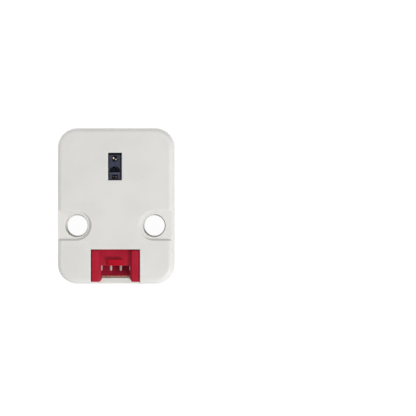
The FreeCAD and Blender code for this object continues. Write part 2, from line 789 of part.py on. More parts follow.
def reference_outline(z0, z1):
    """Small aperture next to the detector."""
    return rounded_prism(
        REFERENCE_WIDTH,
        REFERENCE_LENGTH,
        REFERENCE_ROUND,
        z0,
        z1,
        SENSOR_X + REFERENCE_X,
        sensor_y + REFERENCE_Y,
    )


def die(width, length, height, place):
    """A chip die that lies on the substrate, its place counted from the package's middle."""
    x = SENSOR_X + place[0]
    y = sensor_y + place[1]
    top = substrate_top + height
    return block(x - width / 2, x + width / 2, y - length / 2, y + length / 2, substrate_top, top)


def make_package_pieces():
    """The optical package: substrate, body with three apertures, dies and clear fill."""
    x0 = SENSOR_X - SENSOR_WIDTH / 2
    x1 = SENSOR_X + SENSOR_WIDTH / 2
    y0 = sensor_y - SENSOR_LENGTH / 2
    y1 = sensor_y + SENSOR_LENGTH / 2
    substrate = block(x0, x1, y0, y1, sensor_board_top, substrate_top)
    rim_level = sensor_top - SENSOR_RIM_DEPTH
    rim = block(x0, x1, y0, y1, substrate_top, rim_level)
    lid_x0 = x0 + SENSOR_LEFT_STEP
    lid_x1 = x1 - SENSOR_RIGHT_STEP
    lid = block(lid_x0, lid_x1, y0 + SENSOR_NEAR_STEP, y1 - SENSOR_FAR_STEP, rim_level, sensor_top)
    lid = lid.makeChamfer(SENSOR_EDGE_CHAMFER, edges_at_level(lid, sensor_top))
    ridge_y = sensor_y + SENSOR_RIDGE_Y
    ridge = block(
        lid_x0 + SENSOR_RIDGE_INSET,
        lid_x1 - SENSOR_RIDGE_INSET,
        ridge_y - SENSOR_RIDGE_WIDTH / 2,
        ridge_y + SENSOR_RIDGE_WIDTH / 2,
        rim_level,
        sensor_top + SENSOR_RIDGE_HEIGHT,
    )
    body = fused([rim, lid, ridge])
    for outline in (emitter_outline, detector_outline, reference_outline):
        body = body.cut(outline(substrate_top - OVERRUN, sensor_top + OVERRUN))

    photodiode_y = DETECTOR_Y + PHOTODIODE_MARGIN + PHOTODIODE_LENGTH / 2
    dies = {
        "red_led": die(RED_LED_WIDTH, RED_LED_LENGTH, LED_DIE_HEIGHT, RED_LED_PLACE),
        "infrared_led": die(
            INFRARED_LED_SIZE, INFRARED_LED_SIZE, LED_DIE_HEIGHT, INFRARED_LED_PLACE
        ),
        "photodiode": die(
            PHOTODIODE_WIDTH, PHOTODIODE_LENGTH, PHOTODIODE_HEIGHT, (DETECTOR_X, photodiode_y)
        ),
        "signal_chip": die(
            SIGNAL_CHIP_WIDTH, SIGNAL_CHIP_LENGTH, SIGNAL_CHIP_HEIGHT, (REFERENCE_X, REFERENCE_Y)
        ),
    }
    fill_top = sensor_top - FILL_SINK
    emitter_fill = emitter_outline(substrate_top, fill_top)
    emitter_fill = emitter_fill.cut(dies["red_led"]).cut(dies["infrared_led"])
    pieces = {
        "sensor_substrate": substrate,
        "sensor_body": body,
        "emitter_window": emitter_fill,
        "detector_window": detector_outline(substrate_top, fill_top).cut(dies["photodiode"]),
        "reference_window": reference_outline(substrate_top, fill_top).cut(dies["signal_chip"]),
    }
    pieces.update(dies)
    return pieces


def make_chip(place, length, width, height, leg_sides, leg_width, leg_pitch):
    """A chip body and its gull-wing legs; each long side has a leg at each of its rows."""
    x, y = place
    bottom = board_top + CHIP_STANDOFF
    top = board_top + height
    waist = (bottom + top) / 2
    halves = []
    for level in (bottom, top):
        half = block(x - width / 2, x + width / 2, y - length / 2, y + length / 2, level, waist)
        halves.append(half.makeChamfer(CHIP_EDGE_CHAMFER, edges_at_level(half, level)))
    body = fused(halves)

    shoulder_top = waist + CHIP_LEG_THICKNESS / 2
    shoulder_bottom = shoulder_top - CHIP_LEG_THICKNESS
    foot_top = board_top + CHIP_LEG_THICKNESS
    legs = []
    for side, leg_rows in zip((-1, 1), leg_sides):
        root = x + side * width / 2
        bend = root + side * (CHIP_LEG_REACH - CHIP_LEG_THICKNESS) / 2
        knee = bend + side * CHIP_LEG_THICKNESS
        end = root + side * CHIP_LEG_REACH
        for row in leg_rows:
            y0 = y + row * leg_pitch - leg_width / 2
            y1 = y0 + leg_width
            shoulder = block(root, knee, y0, y1, shoulder_bottom, shoulder_top)
            drop = block(bend, knee, y0, y1, board_top, shoulder_top)
            foot = block(bend, end, y0, y1, board_top, foot_top)
            legs.append(fused([shoulder, drop, foot]))
    return body, Part.makeCompound(legs)


def make_two_terminal_part(place, length, width, height, seat):
    """A capacitor or resistor, its length along X, with slightly larger metal ends."""
    x, y = place
    rise = TERMINAL_RISE
    body = block(
        x - length / 2 + rise,
        x + length / 2 - rise,
        y - width / 2 + rise,
        y + width / 2 - rise,
        seat + rise,
        seat + height - rise,
    )
    ends = []
    for side in (-1, 1):
        outer = x + side * length / 2
        inner = outer - side * TERMINAL_LENGTH
        ends.append(block(outer, inner, y - width / 2, y + width / 2, seat, seat + height))
    return fused([body] + ends)


def make_small_parts():
    """Regulators, level shifters, capacitors and resistors, seated on the boards."""
    column_x = board_half_width - SIDE_PART_INSET
    regulator_y = bore_y + board_notch_radius + REGULATOR_GAP + REGULATOR_LENGTH / 2
    parts = {}
    for name, side in (("led_regulator", -1), ("logic_regulator", 1)):
        body, legs = make_chip(
            (side * column_x, regulator_y),
            REGULATOR_LENGTH,
            REGULATOR_WIDTH,
            REGULATOR_HEIGHT,
            ((-1, 0, 1), (-1, 1)),
            REGULATOR_LEG_WIDTH,
            REGULATOR_LEG_PITCH,
        )
        parts[name] = body
        parts[name + "_legs"] = legs
        first_y = regulator_y + REGULATOR_LENGTH / 2 + SIDE_PART_GAP + CAPACITOR_WIDTH / 2
        second_y = first_y + CAPACITOR_WIDTH + SIDE_PART_GAP
        stem = name.replace("regulator", "supply_capacitor")
        for suffix, y in (("in", first_y), ("out", second_y)):
            place = (side * column_x, y)
            size = (CAPACITOR_LENGTH, CAPACITOR_WIDTH, CAPACITOR_HEIGHT)
            parts[stem + "_" + suffix] = make_two_terminal_part(place, *size, board_top)

    shifter_y = screw_y - head_boss_radius - SHIFTER_GAP - SHIFTER_LENGTH / 2
    for name, side in (("clock_shifter", -1), ("data_shifter", 1)):
        body, legs = make_chip(
            (side * SHIFTER_X, shifter_y),
            SHIFTER_LENGTH,
            SHIFTER_WIDTH,
            SHIFTER_HEIGHT,
            ((-1, 0, 1), (-1, 0, 1)),
            SHIFTER_LEG_WIDTH,
            SHIFTER_LEG_PITCH,
        )
        parts[name] = body
        parts[name + "_legs"] = legs

    size = (BULK_CAPACITOR_LENGTH, BULK_CAPACITOR_WIDTH, BULK_CAPACITOR_HEIGHT)
    emitter_place = (0.0, sensor_y + EMITTER_CAPACITOR_OFFSET)
    parts["emitter_capacitor"] = make_two_terminal_part(emitter_place, *size, board_top)
    size = (CAPACITOR_LENGTH, CAPACITOR_WIDTH, CAPACITOR_HEIGHT)
    below = sensor_board_bottom - CAPACITOR_HEIGHT
    parts["sensor_capacitor"] = make_two_terminal_part((0.0, sensor_y), *size, below)

    first_y = bore_y - board_notch_radius - RESISTOR_GAP - RESISTOR_WIDTH / 2
    second_y = first_y - RESISTOR_WIDTH - RESISTOR_GAP
    size = (RESISTOR_LENGTH, RESISTOR_WIDTH, RESISTOR_HEIGHT)
    for name, side in (("clock_pull_up", -1), ("data_pull_up", 1)):
        for suffix, y in (("sensor_side", first_y), ("plug_side", second_y)):
            place = (side * column_x, y)
            parts[name + "_" + suffix] = make_two_terminal_part(place, *size, board_top)
    interrupt_place = (0.0, sensor_y - INTERRUPT_RESISTOR_OFFSET)
    parts["interrupt_pull_up"] = make_two_terminal_part(interrupt_place, *size, board_top)
    return parts


def make_pieces():
    """Every piece of the module by its name."""
    pieces = {
        "front_cover": make_front_cover(),
        "rear_cover": make_rear_cover(),
        "case_screw": make_case_screw(),
        "main_board": make_main_board(),
        "sensor_board": make_sensor_board(),
        "connector_housing": make_connector_housing(),
    }
    for name, side in (("left", -1), ("right", 1)):
        pieces["link_strip_" + name] = make_link_strip(side)
        pieces["anchor_" + name] = make_anchor(side)
    for number, place in enumerate(link_pin_places(), start=1):
        pieces["link_pin_" + str(number)] = make_link_pin(place)
    for number, x in enumerate(contact_places, start=1):
        pieces["contact_" + str(number)] = make_contact(x)
    pieces.update(make_package_pieces())
    pieces.update(make_small_parts())
    return pieces


os.makedirs("parts", exist_ok=True)
for node, shape in make_pieces().items():
    shape.exportStep("parts/" + node + ".step")
    print(node, len(shape.Solids), round(shape.Volume, 3), "valid" if shape.isValid() else "NOT VALID")
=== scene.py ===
import math

import bpy
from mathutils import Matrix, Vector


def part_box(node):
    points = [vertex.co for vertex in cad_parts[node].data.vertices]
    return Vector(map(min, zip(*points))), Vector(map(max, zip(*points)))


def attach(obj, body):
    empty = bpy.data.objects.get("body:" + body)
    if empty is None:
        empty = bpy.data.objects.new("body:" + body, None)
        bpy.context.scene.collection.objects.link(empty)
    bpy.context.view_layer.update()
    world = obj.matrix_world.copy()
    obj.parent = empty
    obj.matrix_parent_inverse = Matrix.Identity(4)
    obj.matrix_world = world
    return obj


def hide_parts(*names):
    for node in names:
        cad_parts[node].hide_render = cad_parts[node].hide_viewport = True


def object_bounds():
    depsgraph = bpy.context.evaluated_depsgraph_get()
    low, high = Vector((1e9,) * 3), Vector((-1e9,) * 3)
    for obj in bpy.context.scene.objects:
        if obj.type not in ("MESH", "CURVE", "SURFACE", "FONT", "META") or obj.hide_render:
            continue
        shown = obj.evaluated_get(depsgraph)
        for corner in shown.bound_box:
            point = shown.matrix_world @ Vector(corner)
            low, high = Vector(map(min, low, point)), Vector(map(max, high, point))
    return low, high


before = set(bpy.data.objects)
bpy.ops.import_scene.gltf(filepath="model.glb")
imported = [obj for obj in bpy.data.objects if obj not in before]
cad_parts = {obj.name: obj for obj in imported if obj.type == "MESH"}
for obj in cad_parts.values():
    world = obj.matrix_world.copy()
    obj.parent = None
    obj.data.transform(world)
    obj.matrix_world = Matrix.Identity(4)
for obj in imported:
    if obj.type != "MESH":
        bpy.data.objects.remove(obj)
packed_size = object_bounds()

# The view: straight down on the front face, the module lying left of the middle of
# the picture. Everything in this file is in metres.
mm = 0.001
VIEW_X = 18.87 * mm
VIEW_Y = -0.41 * mm
VIEW_DISTANCE = 420 * mm
VIEW_WIDTH = 84.63 * mm
VIEW_CLIP_START = 10 * mm

face_level = packed_size[1][2]
bpy.ops.object.camera_add(location=(VIEW_X, VIEW_Y, face_level + VIEW_DISTANCE), rotation=(0, 0, 0))
camera = bpy.context.active_object
camera.name = "view"
camera.data.lens = camera.data.sensor_width * VIEW_DISTANCE / VIEW_WIDTH
camera.data.clip_start = VIEW_CLIP_START
bpy.context.scene.camera = camera
bpy.context.scene.view_settings.view_transform = "Standard"

# The table: a plain pale sheet under the module. It looks white to the camera, to
# metal and to glass, and still takes a faint shadow of the module.
TABLE_SIZE = 20.0
TABLE_DROP = 0.01 * mm
TABLE_COLOUR = (0.8, 0.8, 0.8, 1)
TABLE_GLOW = 0.96
TABLE_SHADOW_SHARE = 0.1


def maths(tree, operation, first, second=None):
    """One step of arithmetic on an output, with another output or a plain number."""
    step = tree.nodes.new("ShaderNodeMath")
    step.operation = operation
    tree.links.new(first, step.inputs[0])
    if isinstance(second, bpy.types.NodeSocket):
        tree.links.new(second, step.inputs[1])
    elif second is not None:
        step.inputs[1].default_value = second
    return step.outputs[0]


def white_to_view(tree, plain, white):
    """Use one shader for lighting and another for what the camera, metal and glass see."""
    path = tree.nodes.new("ShaderNodeLightPath")
    seen = maths(tree, "MAXIMUM", path.outputs["Is Glossy Ray"], path.outputs["Is Transmission Ray"])
    either = maths(tree, "MAXIMUM", seen, path.outputs["Is Camera Ray"])
    choice = tree.nodes.new("ShaderNodeMixShader")
    tree.links.new(either, choice.inputs["Fac"])
    tree.links.new(plain.outputs[0], choice.inputs[1])
    tree.links.new(white.outputs[0], choice.inputs[2])
    return choice


bpy.ops.mesh.primitive_plane_add(size=TABLE_SIZE, location=(0, 0, -TABLE_DROP))
table = bpy.context.active_object
table.name = "table"
table_finish = bpy.data.materials.new("table_white")
table_finish.use_nodes = True
tree = table_finish.node_tree
tree.nodes.remove(tree.nodes["Principled BSDF"])
lit_table = tree.nodes.new("ShaderNodeBsdfDiffuse")
lit_table.inputs["Color"].default_value = TABLE_COLOUR
glow = tree.nodes.new("ShaderNodeEmission")
glow.inputs["Strength"].default_value = TABLE_GLOW
shaded = tree.nodes.new("ShaderNodeBsdfDiffuse")
shaded.inputs["Color"].default_value = (TABLE_SHADOW_SHARE,) * 3 + (1,)
white_table = tree.nodes.new("ShaderNodeAddShader")
tree.links.new(glow.outputs[0], white_table.inputs[0])
tree.links.new(shaded.outputs[0], white_table.inputs[1])
table_choice = white_to_view(tree, lit_table, white_table)
tree.links.new(table_choice.outputs[0], tree.nodes["Material Output"].inputs["Surface"])
table.data.materials.append(table_finish)

# The light: an even pale room, one wide lamp from the plug's right, which gives the
# soft shadows beside the rails of the socket, and a low pale card at the far left.
ROOM_LEVEL = 0.56
WHITE = (1, 1, 1, 1)
LAMP_DISTANCE = 600 * mm
KEY_SIZE = 180 * mm
KEY_SHARE = 0.61
KEY_ELEVATION = 43
KEY_TURN = -38
CARD_SIZE = 400 * mm
CARD_SHARE = 0.28
CARD_ELEVATION = 10
CARD_TURN = 140

room = bpy.data.worlds.new("room")
bpy.context.scene.world = room
room.use_nodes = True
tree = room.node_tree
lit_room = tree.nodes["Background"]
lit_room.inputs["Color"].default_value = WHITE
lit_room.inputs["Strength"].default_value = ROOM_LEVEL
white_room = tree.nodes.new("ShaderNodeBackground")
white_room.inputs["Color"].default_value = WHITE
room_choice = white_to_view(tree, lit_room, white_room)
tree.links.new(room_choice.outputs[0], tree.nodes["World Output"].inputs["Surface"])


def add_lamp(name, size, share, elevation, turn):
    """A disk lamp aimed at the module, its share counted against an even white room."""
    height = math.radians(elevation)
    side = math.radians(turn)
    bpy.ops.object.light_add(
        type="AREA",
        location=(
            LAMP_DISTANCE * math.cos(height) * math.cos(side),
            LAMP_DISTANCE * math.cos(height) * math.sin(side),
            LAMP_DISTANCE * math.sin(height),
        ),
        rotation=(0, math.pi / 2 - height, side),
    )
    lamp = bpy.context.active_object
    lamp.name = name
    lamp.data.shape = "DISK"
    lamp.data.size = size
    lamp.data.energy = math.pi**2 * LAMP_DISTANCE**2 * share
    lamp.visible_camera = False


add_lamp("key_lamp", KEY_SIZE, KEY_SHARE, KEY_ELEVATION, KEY_TURN)
add_lamp("left_card", CARD_SIZE, CARD_SHARE, CARD_ELEVATION, CARD_TURN)

# The rear half of the case: moulded in warm white plastic with a fine matt skin,
# its walls stepped at the parting line to take the front half's lip. The top of its
# end wall, below the socket, is painted a shade paler, painted light that lifts the
# shade falling on it in the notch.
CASE_COLOUR = (221, 220, 217)
CASE_DARKER = (217, 216, 213)
CASE_PATCH = 6 * mm
CASE_ROUGHNESS = 0.5
CASE_GRAIN = 0.16 * mm
CASE_GRAIN_DEPTH = 0.012 * mm
CASE_GLOW_THROUGH = 0.5
CASE_GLOW_REACH = 0.6 * mm
CASE_GLOW_BY_COLOUR = (1, 0.9, 0.8)
END_WALL_PAINTED_LIGHT_COLOUR = (232, 236, 231)
END_WALL_PAINTED_LIGHT_DARKER = (228, 233, 228)
END_WALL_THICKNESS = 1.3 * mm
END_WALL_HALF_WIDTH = 4.9 * mm
END_WALL_TOP = 2.6 * mm
END_WALL_SLACK = 0.2 * mm
MERGE_DISTANCE = 0.0005 * mm
FLAT_WITHIN = 0.5
EDGE_STEPS = 2
PATCH_START = 0.35
PATCH_END = 0.65


def from_screen(colour):
    """Linear colour from the values that it has on a screen."""
    linear = [((c / 255 + 0.055) / 1.055) ** 2.4 if c > 10 else c / 255 / 12.92 for c in colour]
    return (*linear, 1)


def set_number(finish, name, value):
    """Set one number of a finish's shader."""
    finish.node_tree.nodes["Principled BSDF"].inputs[name].default_value = value


def new_finish(name, roughness, metallic=0.0, gloss=0.5):
    """A material with the plain numbers of its shader set."""
    finish = bpy.data.materials.new(name)
    finish.use_nodes = True
    set_number(finish, "Roughness", roughness)
    set_number(finish, "Metallic", metallic)
    set_number(finish, "Specular IOR Level", gloss)
    return finish


def noise_in(finish, size):
    """A noise pattern in a finish, its lumps about the given size across."""
    tree = finish.node_tree
    place = tree.nodes.new("ShaderNodeTexCoord")
    noise = tree.nodes.new("ShaderNodeTexNoise")
    noise.inputs["Scale"].default_value = 1 / size
    tree.links.new(place.outputs["Object"], noise.inputs["Vector"])
    return noise.outputs["Fac"]


def two_tones(finish, size, first, second):
    """A colour that wanders between two tones in soft patches."""
    tree = finish.node_tree
    ramp = tree.nodes.new("ShaderNodeValToRGB")
    start, end = ramp.color_ramp.elements
    start.position = PATCH_START
    start.color = from_screen(first)
    end.position = PATCH_END
    end.color = from_screen(second)
    tree.links.new(noise_in(finish, size), ramp.inputs["Fac"])
    return ramp.outputs["Color"]


def add_grain(finish, size, depth):
    """Give a finish a fine grain, as a mould's eroded face leaves."""
    tree = finish.node_tree
    bump = tree.nodes.new("ShaderNodeBump")
    bump.inputs["Distance"].default_value = depth
    tree.links.new(noise_in(finish, size), bump.inputs["Height"])
    tree.links.new(bump.outputs["Normal"], tree.nodes["Principled BSDF"].inputs["Normal"])


def add_wear(finish, size, smooth, rough):
    """Let the roughness vary in patches between two values."""
    tree = finish.node_tree
    span = tree.nodes.new("ShaderNodeMapRange")
    span.inputs["To Min"].default_value = smooth
    span.inputs["To Max"].default_value = rough
    tree.links.new(noise_in(finish, size), span.inputs["Value"])
    tree.links.new(span.outputs["Result"], tree.nodes["Principled BSDF"].inputs["Roughness"])


def patched_finish(
    name, first, second, patch, roughness, metallic=0.0, gloss=0.5, grain=0.0, grain_depth=0.0
):
    """A finish in two wandering tones, with a fine grain where one is given."""
    finish = new_finish(name, roughness, metallic, gloss)
    tree = finish.node_tree
    tone = two_tones(finish, patch, first, second)
    tree.links.new(tone, tree.nodes["Principled BSDF"].inputs["Base Color"])
    if grain:
        add_grain(finish, grain, grain_depth)
    return finish


def select_only(piece):
    """Make a piece the only selected one, and the active one."""
    bpy.ops.object.select_all(action="DESELECT")
    piece.select_set(True)
    bpy.context.view_layer.objects.active = piece


def set_on(piece, slot_name, *nodes):
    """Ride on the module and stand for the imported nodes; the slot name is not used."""
    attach(piece, "root")
    if nodes:
        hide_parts(*nodes)


def dressed(node, finish, slot_name, edge_round=0.0, sharp_angle=30):
    """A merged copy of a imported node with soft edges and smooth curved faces."""
    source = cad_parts[node]
    piece = bpy.data.objects.new(node + "_dressed", source.data.copy())
    bpy.context.scene.collection.objects.link(piece)
    select_only(piece)
    bpy.ops.mesh.customdata_custom_splitnormals_clear()
    bpy.ops.object.mode_set(mode="EDIT")
    bpy.ops.mesh.select_all(action="SELECT")
    bpy.ops.mesh.remove_doubles(threshold=MERGE_DISTANCE)
    bpy.ops.mesh.dissolve_limited(angle_limit=math.radians(FLAT_WITHIN))
    bpy.ops.object.mode_set(mode="OBJECT")
    if edge_round:
        bevel = piece.modifiers.new("edge_round", "BEVEL")
        bevel.width = edge_round
        bevel.segments = EDGE_STEPS
        bevel.limit_method = "ANGLE"
        bevel.angle_limit = math.radians(sharp_angle)
        bpy.ops.object.modifier_apply(modifier=bevel.name)
    bpy.ops.object.shade_smooth_by_angle(angle=math.radians(sharp_angle))
    piece.data.materials.clear()
    piece.data.materials.append(finish)
    set_on(piece, slot_name, node)
    return piece


def repaint(piece, finish, is_chosen):
    """Give another finish to the faces whose middle passes a test."""
    piece.data.materials.append(finish)
    index = len(piece.data.materials) - 1
    for face in piece.data.polygons:
        if is_chosen(face.center):
            face.material_index = index


def case_plastic(name, first, second):
    """The case's plastic in one pair of tones."""
    finish = patched_finish(
        name,
        first,
        second,
        patch=CASE_PATCH,
        roughness=CASE_ROUGHNESS,
        grain=CASE_GRAIN,
        grain_depth=CASE_GRAIN_DEPTH,
    )
    set_number(finish, "Subsurface Weight", CASE_GLOW_THROUGH)
    set_number(finish, "Subsurface Radius", CASE_GLOW_BY_COLOUR)
    set_number(finish, "Subsurface Scale", CASE_GLOW_REACH)
    return finish


def on_end_wall(at):
    """Whether a point lies on the top of the end wall, below the socket."""
    in_wall = at.y < packed_size[0][1] + END_WALL_THICKNESS and abs(at.x) < END_WALL_HALF_WIDTH
    return in_wall and abs(at.z - END_WALL_TOP) < END_WALL_SLACK


case_finish = case_plastic("case_plastic_matt", CASE_COLOUR, CASE_DARKER)
rear_case = dressed("rear_cover", case_finish, "case_plastic")
# Painted light: the top of the end wall below the socket gets a paler plastic.
repaint(rear_case, case_plastic("case_plastic_end_wall_painted_light", END_WALL_PAINTED_LIGHT_COLOUR, END_WALL_PAINTED_LIGHT_DARKER), on_end_wall)

# The main board: glass laminate under a green mask, bare along its rim, where the
# mask is held back. It lies on the rear half's ledge over four pegs.
MASK_COLOUR = (30, 62, 48)
MASK_DARKER = (24, 52, 40)
MASK_PATCH = 3 * mm
BARE_COLOUR = (180, 140, 120)
BARE_DARKER = (124, 86, 68)
BARE_RIM = 0.55 * mm
WEAVE = 0.4 * mm
WEAVE_DEPTH = 0.008 * mm
BOARD_ROUGHNESS = 0.42
MIX_FIRST_COLOUR = 6
MIX_SECOND_COLOUR = 7
MIX_RESULT_COLOUR = 2


def laminate(name, low, high):
    """Masked board with a bare woven rim, its extent given by two corners."""
    finish = new_finish(name, BOARD_ROUGHNESS)
    add_grain(finish, WEAVE, WEAVE_DEPTH)
    tree = finish.node_tree
    place = tree.nodes.new("ShaderNodeTexCoord")
    parts = tree.nodes.new("ShaderNodeSeparateXYZ")
    tree.links.new(place.outputs["Object"], parts.inputs[0])
    near_edge = []
    for along, start, end in ((parts.outputs[0], low.x, high.x), (parts.outputs[1], low.y, high.y)):
        from_middle = maths(tree, "SUBTRACT", along, (start + end) / 2)
        distance = maths(tree, "ABSOLUTE", from_middle)
        near_edge.append(maths(tree, "GREATER_THAN", distance, (end - start) / 2 - BARE_RIM))
    mix = tree.nodes.new("ShaderNodeMix")
    mix.data_type = "RGBA"
    tree.links.new(maths(tree, "MAXIMUM", *near_edge), mix.inputs[0])
    mask = two_tones(finish, MASK_PATCH, MASK_COLOUR, MASK_DARKER)
    bare = two_tones(finish, WEAVE, BARE_COLOUR, BARE_DARKER)
    tree.links.new(mask, mix.inputs[MIX_FIRST_COLOUR])
    tree.links.new(bare, mix.inputs[MIX_SECOND_COLOUR])
    tree.links.new(mix.outputs[MIX_RESULT_COLOUR], tree.nodes["Principled BSDF"].inputs["Base Color"])
    return finish


board_low, board_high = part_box("main_board")
dressed("main_board", laminate("main_board_laminate", board_low, board_high), "board_laminate")

# The plug socket: a red nylon moulding with two raised rails and a latch ramp. Its
# mouth is painted a darker, duller red as painted shade in the deep cavity, the ramp
# a purer, lighter red as painted light where the lamp falls on it, and the rounded
# top edges a deeper red as a painted shadow of the case's notch wall.
SOCKET_COLOUR = (171, 25, 49)
SOCKET_DARKER = (165, 21, 45)
SOCKET_PATCH = 2 * mm
SOCKET_ROUGHNESS = 0.38
SOCKET_GRAIN = 0.2 * mm
SOCKET_GRAIN_DEPTH = 0.006 * mm
SOCKET_GLOSS = 0.15
MOUTH_SHADE_COLOUR = (141, 20, 43)
MOUTH_SHADE_DARKER = (131, 16, 38)
MOUTH_SHADE_GLOSS = 0.06
MOUTH_FROM_SIDE = 0.65 * mm
MOUTH_FROM_FRONT = 0.57 * mm
MOUTH_FROM_BACK = 0.51 * mm
MOUTH_FROM_FLOOR = 0.3 * mm
MOUTH_FROM_TOP = 1.58 * mm
RAMP_PAINTED_LIGHT_COLOUR = (175, 22, 42)
RAMP_PAINTED_LIGHT_DARKER = (168, 18, 37)
RAMP_GLOSS = 0.03
RAMP_HALF_WIDTH = 1.56 * mm
RAMP_FROM_TOP = 0.97 * mm
EDGE_SHADOW_COLOUR = (118, 12, 26)
EDGE_SHADOW_DARKER = (110, 10, 23)
EDGE_WIDTH = 0.21 * mm

socket_low, socket_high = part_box("connector_housing")


def socket_nylon(name, first, second, gloss):
    """The socket's plastic in one pair of tones."""
    return patched_finish(
        name,
        first,
        second,
        patch=SOCKET_PATCH,
        roughness=SOCKET_ROUGHNESS,
        gloss=gloss,
        grain=SOCKET_GRAIN,
        grain_depth=SOCKET_GRAIN_DEPTH,
    )


def in_mouth(at):
    """Whether a point lies inside the socket's mouth."""
    beside = abs(at.x) < socket_high.x - MOUTH_FROM_SIDE
    behind = socket_low.y + MOUTH_FROM_FRONT < at.y < socket_high.y - MOUTH_FROM_BACK
    return beside and behind and socket_low.z + MOUTH_FROM_FLOOR < at.z < socket_high.z - MOUTH_FROM_TOP


def on_ramp(at):
    """Whether a point lies on the latch ramp, above the floor of the channel."""
    return abs(at.x) < RAMP_HALF_WIDTH and at.z > socket_high.z - RAMP_FROM_TOP


def on_top_edge(at):
    """Whether a point lies on the rounded top edge of a side or of the back."""
    outermost = abs(at.x) > socket_high.x - EDGE_WIDTH or at.y > socket_high.y - EDGE_WIDTH
    return outermost and at.z > socket_high.z - EDGE_WIDTH


socket = dressed(
    "connector_housing",
    socket_nylon("socket_nylon", SOCKET_COLOUR, SOCKET_DARKER, SOCKET_GLOSS),
    "connector_plastic",
    edge_round=0.05 * mm,
    sharp_angle=35,
)
# Painted shade: the faces inside the mouth get a darker, duller red.
repaint(socket, socket_nylon("mouth_painted_shade", MOUTH_SHADE_COLOUR, MOUTH_SHADE_DARKER, MOUTH_SHADE_GLOSS), in_mouth)
# Painted light: the ramp's faces get a lighter, purer red, where the lamp falls on them.
repaint(socket, socket_nylon("ramp_painted_light", RAMP_PAINTED_LIGHT_COLOUR, RAMP_PAINTED_LIGHT_DARKER, RAMP_GLOSS), on_ramp)
# Painted shadow: the rounded outer top edges get a deeper red, the notch wall's shadow.
repaint(socket, socket_nylon("edge_painted_shadow", EDGE_SHADOW_COLOUR, EDGE_SHADOW_DARKER, SOCKET_GLOSS), on_top_edge)

# The metal of the socket: square tin-plated pins bent down to the board, and the
# two brighter solder tabs, both pressed into the nylon. The pins' tin is tinted pink,
# a painted reflection of the red nylon round them.
TIN_COLOUR = (166, 164, 160)
TIN_DARKER = (140, 138, 135)
PIN_RED_REFLECTION_COLOUR = (168, 148, 146)
PIN_RED_REFLECTION_DARKER = (154, 134, 132)
TIN_PATCH = 0.8 * mm
TIN_WEAR = 0.5 * mm

tin_finish = patched_finish(
    "bright_tin", TIN_COLOUR, TIN_DARKER, patch=TIN_PATCH, roughness=0.32, metallic=1.0
)
add_wear(tin_finish, TIN_WEAR, smooth=0.28, rough=0.42)
# Painted reflection: the pins' tin is tinted pink by the red nylon round them.
pin_finish_painted_reflection = patched_finish(
    "pin_tin_painted_reflection", PIN_RED_REFLECTION_COLOUR, PIN_RED_REFLECTION_DARKER, patch=TIN_PATCH, roughness=0.5, metallic=1.0
)
add_wear(pin_finish_painted_reflection, TIN_WEAR, smooth=0.48, rough=0.56)
for node in sorted(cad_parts):
    if node.startswith("contact_"):
        dressed(node, pin_finish_painted_reflection, "tinned_metal", edge_round=0.05 * mm, sharp_angle=35)
for side in ("left", "right"):
    dressed("anchor_" + side, tin_finish, "tinned_metal", edge_round=0.03 * mm, sharp_angle=35)

# The chips: black epoxy bodies with their legs tinned, two regulators beside the
# sensor board and two level shifters behind the socket.
CHIP_COLOUR = (44, 44, 46)
CHIP_GREYER = (54, 54, 56)

chip_finish = patched_finish(
    "chip_epoxy",
    CHIP_COLOUR,
    CHIP_GREYER,
    patch=0.7 * mm,
    roughness=0.55,
    grain=0.1 * mm,
    grain_depth=0.01 * mm,
)
for chip in ("led_regulator", "logic_regulator", "clock_shifter", "data_shifter"):
    dressed(chip, chip_finish, "black_plastic", edge_round=0.03 * mm)
    dressed(chip + "_legs", tin_finish, "tinned_metal", edge_round=0.02 * mm)

# The capacitors and resistors: fired ceramic between two tinned ends, the
# resistors with a black glaze.
CERAMIC_COLOUR = (176, 148, 112)
CERAMIC_DARKER = (158, 130, 96)
GLAZE_COLOUR = (34, 34, 38)
GLAZE_GREYER = (48, 48, 52)
END_CAP = 0.31 * mm

ceramic_finish = patched_finish(
    "capacitor_body",
    CERAMIC_COLOUR,
    CERAMIC_DARKER,
    patch=0.3 * mm,
    roughness=0.45,
    grain=0.08 * mm,
    grain_depth=0.006 * mm,
)
glaze_finish = patched_finish(
    "resistor_body",
    GLAZE_COLOUR,
    GLAZE_GREYER,
    patch=0.3 * mm,
    roughness=0.3,
    grain=0.1 * mm,
    grain_depth=0.004 * mm,
)


def end_capped(node, finish, slot_name):
    """A part with two terminals: its ends get the tin, the rest its own finish."""
    low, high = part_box(node)
    piece = dressed(node, finish, slot_name, edge_round=0.04 * mm)
    repaint(piece, tin_finish, lambda at: min(at.x - low.x, high.x - at.x) < END_CAP)


for node in sorted(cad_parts):
    if "capacitor" in node:
        end_capped(node, ceramic_finish, "capacitor_ceramic")
    if "pull_up" in node:
        end_capped(node, glaze_finish, "resistor_ceramic")

# The pin strips: black plastic spacers with gold pins, which hold the sensor board
# at its height over the main board.
GOLD_COLOUR = (242, 210, 156)
GOLD_DARKER = (226, 190, 134)
STRIP_COLOUR = (38, 38, 40)
STRIP_PALER = (46, 46, 48)

gold_finish = patched_finish(
    "thin_gold", GOLD_COLOUR, GOLD_DARKER, patch=0.5 * mm, roughness=0.25, metallic=1.0
)
add_wear(gold_finish, 0.4 * mm, smooth=0.18, rough=0.34)
strip_finish = patched_finish(
    "strip_plastic",
    STRIP_COLOUR,
    STRIP_PALER,
    patch=1 * mm,
    roughness=0.48,
    grain=0.12 * mm,
    grain_depth=0.008 * mm,
)
for side in ("left", "right"):
    dressed("link_strip_" + side, strip_finish, "black_plastic", edge_round=0.05 * mm)
for node in sorted(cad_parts):
    if node.startswith("link_pin_"):
        dressed(node, gold_finish, "gold_plating", edge_round=0.03 * mm)

